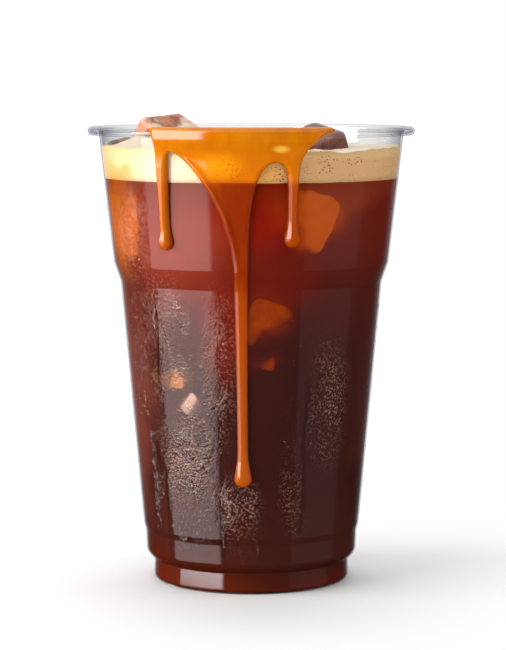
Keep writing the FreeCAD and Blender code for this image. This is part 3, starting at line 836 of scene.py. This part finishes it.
def make_caramel(material, step=0.24):
    line, _ = rounded_line(PATH, 10)
    lengths = np.concatenate([[0], np.cumsum(np.linalg.norm(np.diff(line, axis=0), axis=1))])
    along = np.arange(0, lengths[-1], step)
    path = np.stack([np.interp(along, lengths, line[:, 0]), np.interp(along, lengths, line[:, 1])], 1)
    way = unit(np.gradient(path, axis=0))
    normal = np.stack([-way[:, 1], way[:, 0]], 1)
    for _ in range(14):
        normal[1:-1] = (normal[:-2] + normal[1:-1] * 2 + normal[2:]) / 4
    normal = unit(normal)
    # a level above the crest stands for the way inwards over the rim
    crest = int(np.argmax(path[:, 0] > RIM_RADIUS - 0.05))
    level = np.where(np.arange(len(path)) < crest, CUP_HEIGHT + (along[crest] - along), path[:, 1])
    outline = pour_outline()
    order = np.argsort(level)
    s_of = np.interp(outline[:, 1], level[order], along[order])
    radius_of = np.interp(s_of, along, path[:, 0])
    angle_of = np.arcsin(np.clip(outline[:, 0] / radius_of, -1, 1))
    flat = np.stack([angle_of * SHEET_RADIUS, -s_of], 1)
    columns = np.arange(flat[:, 0].min() - 2 * step, flat[:, 0].max() + 2 * step, step)
    grid = np.stack(np.meshgrid(columns, -along, indexing="xy"), 2).reshape(-1, 2)
    squeeze = np.interp(-grid[:, 1], along, path[:, 0]) / SHEET_RADIUS
    inside, nearest = distance_inside(grid, flat)
    inside *= np.clip(squeeze, 0.8, 1.1)
    keep = inside > 0
    width = len(columns)
    faces, used = [], np.zeros(len(grid), bool)
    for row in range(len(along) - 1):
        base = row * width
        for k in range(width - 1):
            quad = (base + k, base + width + k, base + width + k + 1, base + k + 1)
            if keep[quad[0]] or keep[quad[1]] or keep[quad[2]] or keep[quad[3]]:
                faces.append(quad)
                used[list(quad)] = True
    moved = used & ~keep
    grid[moved] = nearest[moved]
    inside[moved] = 0.0
    s = -grid[:, 1]
    r, z = np.interp(s, along, path[:, 0]), np.interp(s, along, path[:, 1])
    n_r, n_z = np.interp(s, along, normal[:, 0]), np.interp(s, along, normal[:, 1])
    angle = grid[:, 0] / SHEET_RADIUS
    x_seen = r * np.sin(angle)
    film = np.interp(z, FILM_LEVELS, FILM)
    thick = film * np.sqrt(np.maximum(1 - (1 - np.clip(inside / SYRUP_ROLL, 0, 1)) ** 2, 0))
    # a bead along the edge, higher in the left half
    bead = np.interp(x_seen, [-4.5, -2.5], [0.5, 0.12])
    thick += bead * np.exp(-((inside - 1.3) / 0.8) ** 2) * np.interp(z, [96, 106, 122, 127], [0, 1, 1, 0])
    for drip in DRIPS.values():
        bulb_x, bulb_z = drip["end"][0], drip["end"][1] + 1.35 * drip["bulb"]
        gap = np.hypot((x_seen - bulb_x) * 1.15, z - bulb_z) / (1.37 * drip["bulb"])
        thick += 0.45 * drip["bulb"] * np.exp(-gap**2 * 1.6) * np.sqrt(np.clip(inside / 1.4, 0, 1))
    for column in (DRIPS["left"]["top"][0], DRIPS["right"]["top"][0]):
        ridge = np.exp(-((x_seen - column) / 1.3) ** 2) * np.interp(z, [100, 106, 124, 129], [0, 1, 1, 0])
        thick += 0.25 * ridge * np.sqrt(np.clip(inside / 1.5, 0, 1))

    def skin(shift):
        """The sheet, bent back round the cup and moved outwards by shift."""
        radius = r + n_r * shift
        return np.stack([radius * np.sin(angle), -radius * np.cos(angle), z + n_z * shift], 1)

    count = int(used.sum())
    index = np.cumsum(used) - 1
    front = [tuple(int(index[k]) for k in quad) for quad in faces]
    back = [tuple(k + count for k in quad[::-1]) for quad in front]
    edges = {}
    for quad in front:
        for a, b in zip(quad, quad[1:] + quad[:1]):
            if (b, a) in edges:
                del edges[(b, a)]
            else:
                edges[(a, b)] = True
    sides = [(b, a, a + count, b + count) for a, b in edges]
    points = np.concatenate([skin(thick)[used], skin(-SYRUP_SINK)[used]])
    caramel = new_object("caramel_pour", points, front + back + sides, material)
    add_attribute(caramel, "inside", np.concatenate([inside[used], inside[used]]))
    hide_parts("caramel")
    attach(caramel, "root")


# Painted light on the syrup, glows where it is brighter, the last a pale painted highlight below the rim:
# (centre, half size, edge, strength, colour)
SYRUP_GLOWS = (
    ((-24.3, -35, 112), (4.5, 20, 16), 0.5, 0.6, srgb(208, 112, 18)),
    ((-9, -43, 122.5), (9, 20, 5), 0.2, 0.75, srgb(238, 146, 4)),
    ((8.2, -43, 127.2), (3.4, 20, 1.5), 0.2, 0.7, srgb(246, 196, 70)),
)


def caramel_material():
    """Syrup over foam is bright orange; where the coffee is behind it, it is deep brown-orange."""
    shader = Shader("caramel_syrup")
    part = shader.fade(shader.axis("Z"), SYRUP_LOW * MM, SYRUP_TOP * MM)
    over_foam = (COFFEE_LEVEL - SYRUP_LOW) / (SYRUP_TOP - SYRUP_LOW)
    colour = shader.ramp(
        part, (0.0, srgb(174, 84, 14)), (0.3, srgb(162, 72, 12)), (0.6, srgb(154, 56, 2)),
        (over_foam - 0.008, srgb(168, 66, 2)), (over_foam + 0.012, srgb(208, 108, 3)),
        (0.95, srgb(198, 112, 0)), (1.0, srgb(208, 122, 0)),
    )
    web = shader.times(shader.halo((-3.0, -42.0, 106.0), (13.5, 30.0, 22.0), 0.55), 0.85)
    low = shader.math("LESS_THAN", part, over_foam + 0.002)
    colour = shader.mix(shader.times(web, low), colour, srgb(126, 32, 1))
    streak = shader.noise(220.0, 2.0, 0.5, shader.stretch((1.0, 1.0, 0.25)))
    streak = shader.ramp(streak, (0.42, 0.0), (0.62, 1.0))
    colour = shader.mix(shader.times(streak, 0.3), colour, srgb(172, 70, 1))
    # painted glows and a painted highlight on the syrup
    for centre, size, edge, strength, glow in SYRUP_GLOWS:
        colour = shader.mix(shader.times(shader.halo(centre, size, edge), strength), colour, glow)
    dots = shader.math("LESS_THAN", shader.cells(1300.0), 0.26)
    dots = shader.times(dots, shader.halo((-7.5, -43.0, 121.0), (7.0, 20.0, 5.0), 0.5))
    colour = shader.mix(shader.times(dots, 0.6), colour, srgb(150, 66, 2))
    # Painted shade: the syrup is darkened along its rounded edges
    rim = shader.fade(shader.attribute("inside"), 0.8, 0.0)
    colour = shader.mix(shader.times(rim, 0.6), colour, srgb(104, 28, 0))
    shader.set(Base_Color=colour, Roughness=0.13, IOR=1.48, Specular_IOR_Level=0.25)
    shader.set(Subsurface_Weight=0.1, Subsurface_Radius=(1.0, 0.45, 0.1), Subsurface_Scale=0.001)
    shader.set(Coat_Weight=0.65, Coat_Roughness=0.04)
    return shader.material


# ---------------------------------------------------------------- condensation


def droplet_material():
    shader = Shader("water_drops")
    facing, share = mirror_share(shader, DROPLET_MIRROR)
    tint = shader.ramp(
        facing, (0.0, srgb(250, 246, 244)), (0.55, srgb(215, 200, 196)), (1.0, srgb(120, 90, 84)),
    )
    shader.show(shader.blend(share, shader.clear(tint), shader.glossy(Roughness=0.08)))
    return shader.material


# Where droplets gather: (angle low, angle high, level low, level high, count, size low, size high)
DROPLET_AREAS = (
    (-62, -40, 94, 118, 1900, 0.08, 0.24),
    (-70, -40, 50, 86, 1500, 0.08, 0.3),
    (-48, -8, 46, 86, 2600, 0.08, 0.3),
    (-58, -14, 12, 46, 3800, 0.1, 0.42),
    (-18, 4, 9, 34, 1100, 0.08, 0.3),
    (16, 50, 38, 84, 900, 0.08, 0.26),
    (12, 70, 94, 110, 120, 0.08, 0.2),
    (45, 180, 14, 118, 1500, 0.1, 0.32),
    (-180, -75, 14, 118, 1500, 0.1, 0.32),
)
# The levels between which the wall steps out, where no droplets lie
SHOULDER = (86, 95)
# Degrees round the cup to a millimetre of its wall
MM_TURN = 1.6
# A droplet's sides, and its rise and the sinking of its foot as shares of its size
DROPLET_SIDES = 6
DROPLET_RISE = 0.45
DROPLET_SINK = 0.08


def wiped(angle, level):
    return any(abs(angle - at) < half * MM_TURN and low < level < high for at, low, high, half in WIPED)


def add_droplet(points, faces, angle, level, size, tall):
    """A low six-sided dome on the wall, its foot sunk a little into it."""
    out = Vector((math.sin(angle), -math.cos(angle), 0))
    across = Vector((math.cos(angle), math.sin(angle), 0))
    up = Vector((0, 0, 1))
    centre = out * float(skin_radius(level)) + up * level
    foot = len(points)
    upper, pole = foot + DROPLET_SIDES, foot + 2 * DROPLET_SIDES
    for ring, (slope, sink) in enumerate(((0, DROPLET_SINK), (math.pi / 4, 0))):
        flat = math.cos(slope)
        lift = math.sin(slope) * DROPLET_RISE - sink
        for k in range(DROPLET_SIDES):
            turn = TAU * k / DROPLET_SIDES + ring * 0.3
            wide, high = math.cos(turn) * flat * size, math.sin(turn) * flat * size * tall
            points.append(centre + across * wide + up * high + out * (lift * size))
    points.append(centre + out * (DROPLET_RISE * size))
    for k, n in around(DROPLET_SIDES):
        faces.append((foot + k, foot + n, upper + n, upper + k))
    for k, n in around(DROPLET_SIDES):
        faces.append((upper + k, upper + n, pole))


def make_droplets(material):
    points, faces = [], []
    for low, high, bottom, top, count, small, large in DROPLET_AREAS:
        for _ in range(count):
            angle = random.uniform(low, high)
            level = random.uniform(bottom, top)
            patch = noise.noise(Vector((angle * 0.09, level * 0.05, low)))
            if random.random() > 0.5 + patch * 1.6:
                continue
            if wiped(angle, level) or SHOULDER[0] < level < SHOULDER[1]:
                continue
            size = small + (large - small) * random.random() ** 2.6
            tall = 1 + 0.5 * random.random() * (size > 0.3)
            add_droplet(points, faces, math.radians(angle), level, size, tall)
    drops = new_object("water_droplets", points, faces, material)
    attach(drops, "root")


# ---------------------------------------------------------------- the studio

# Square panels of light, in metres: (azimuth, height, distance, side, watts, level it aims at)
LAMPS = {
    "left_softbox": (-66, 0.17, 0.55, 0.62, 6.0, 0.12),
    "right_softbox": (84, 0.17, 0.6, 0.6, 2.3, 0.12),
    "front_fill": (8, 0.3, 0.9, 0.7, 2.2, 0.1),
    "top_softbox": (180, 0.8, 0.35, 0.7, 4.0, 0.1),
}


def add_lamp(name, azimuth, height, distance, side, power, target):
    data = bpy.data.lights.new(name, "AREA")
    data.size = side
    data.energy = power
    lamp = add_object(name, data)
    a = math.radians(azimuth)
    lamp.location = (distance * math.sin(a), -distance * math.cos(a), height)
    aim = Vector((0, 0, target)) - Vector(lamp.location)
    lamp.rotation_euler = aim.to_track_quat("-Z", "Y").to_euler()
    lamp.visible_glossy = False


def floor_material():
    """Pale floor with the cup's shadow, plain white away from the cup; mirrors look through it."""
    shader = Shader("pale_floor")
    shader.set(Base_Color=(0.93, 0.93, 0.93, 1), Roughness=0.9, Specular_IOR_Level=0.0)
    path = shader.node("LightPath").outputs
    seen = shader.most(path["Is Camera Ray"], path["Is Transmission Ray"])
    reach = shader.node("VectorMath", {0: shader.place()}, operation="LENGTH").outputs["Value"]
    far = shader.ease(reach, 0.05, 0.14)
    white = shader.node("Emission", {"Color": (1, 1, 1, 1), "Strength": 1.0}).outputs[0]
    shown = shader.blend(shader.times(seen, far), shader.surface.outputs[0], white)
    shader.show(shader.blend(path["Is Glossy Ray"], shown, shader.clear((1, 1, 1, 1))))
    return shader.material


# How bright mirrors find the room: in front, behind and above, and in the two softboxes, of
# which the left one is brighter above its foot than at it
ROOM = {"front": 0.01, "behind": 0.95, "left_foot": 2.2, "left_box": 8.5, "right_box": 0.16}
# The directions that the softboxes fill, in degrees from the front
LEFT_BOX = (-93.0, -31.0)
RIGHT_BOX = (44.0, 103.0)
AMBIENT = 0.28


def make_world():
    """White behind the cup for camera and glass; mirrors see a dim room with two softboxes."""
    world = bpy.data.worlds.new("studio")
    bpy.context.scene.world = world
    world.use_nodes = True
    sky = Nodes(world.node_tree)
    path = sky.node("LightPath").outputs
    way = sky.node("SeparateXYZ", {0: sky.node("TexCoord").outputs["Generated"]}).outputs
    angle = sky.math("ARCTAN2", way["X"], sky.times(way["Y"], -1.0))
    open_room = sky.most(sky.ease(way["Y"], 0.78, 1.0), sky.ease(way["Z"], 0.3, 0.7))
    room = sky.math("ADD", sky.times(open_room, ROOM["behind"]), ROOM["front"])
    left_light = sky.ease(way["Z"], -0.17, -0.11, ROOM["left_foot"], ROOM["left_box"])
    level = sky.times(sky.ease(way["Z"], 0.75, 0.65), sky.ease(way["Z"], -0.5, -0.36))
    for box, light in ((LEFT_BOX, left_light), (RIGHT_BOX, ROOM["right_box"])):
        start, stop = (math.radians(side) for side in box)
        across = sky.times(sky.ease(angle, start, start + 0.03), sky.ease(angle, stop, stop - 0.1))
        room = sky.most(room, sky.times(sky.times(across, level), light))
    seen = sky.most(path["Is Camera Ray"], path["Is Transmission Ray"])
    mirrored = path["Is Glossy Ray"]
    others = sky.math("SUBTRACT", sky.math("SUBTRACT", 1.0, seen), mirrored)
    strength = sky.math("ADD", sky.times(sky.most(others, 0.0), AMBIENT), seen)
    strength = sky.math("ADD", strength, sky.times(mirrored, room))
    background = sky.tree.nodes["Background"]
    sky.feed(background.inputs["Color"], (1, 1, 1, 1))
    sky.feed(background.inputs["Strength"], strength)


def make_studio():
    points = [(x * 4000, y * 4000, 0) for x, y in ((-1, -1), (1, -1), (1, 1), (-1, 1))]
    floor = new_object("floor_plane", points, [(0, 1, 2, 3)], floor_material(), False)
    for name, lamp in LAMPS.items():
        add_lamp(name, *lamp)
    make_world()


# The camera in metres and degrees: where it stands, how far down it looks, and its lens in mm
CAMERA_PLACE = (0.0005, -0.72168, 0.14729)
CAMERA_DIP = 5.764
LENS = 137.08


def make_camera():
    data = bpy.data.cameras.new("camera")
    data.sensor_width = 36
    data.lens = LENS
    camera = add_object("camera", data)
    camera.location = CAMERA_PLACE
    camera.rotation_euler = (math.radians(90 - CAMERA_DIP), 0, 0)
    bpy.context.scene.camera = camera
    bpy.context.scene.view_settings.view_transform = "Standard"


make_cup(clear_plastic())
make_coffee(coffee_material())
make_sunk_ice(sunk_ice_material())
make_foam(foam_material())
left_frost = (
    ((-16.5, 4, 132), (5.6, 30, 6), 1),
    ((-27.4, 4, 131), (2.4, 30, 4.2), 0.85),
    ((-36, 0, 126.5), (8, 30, 4.5), 1),
)
left = ice_material("ice_left", srgb(204, 110, 26), srgb(132, 58, 8), srgb(252, 234, 210), left_frost, 0.95)
right = ice_material("ice_right", srgb(144, 80, 66), srgb(98, 50, 42), srgb(214, 180, 170), (), 0.5)
edge = ice_material("ice_edge", srgb(170, 130, 100), srgb(110, 80, 60), srgb(220, 205, 190), (), 0.7)
make_ice("left_ice", left)
make_ice("right_ice", right, 0.9, 22)
make_ice("edge_ice", edge)
make_caramel(caramel_material())
make_droplets(droplet_material())
make_studio()
make_camera()
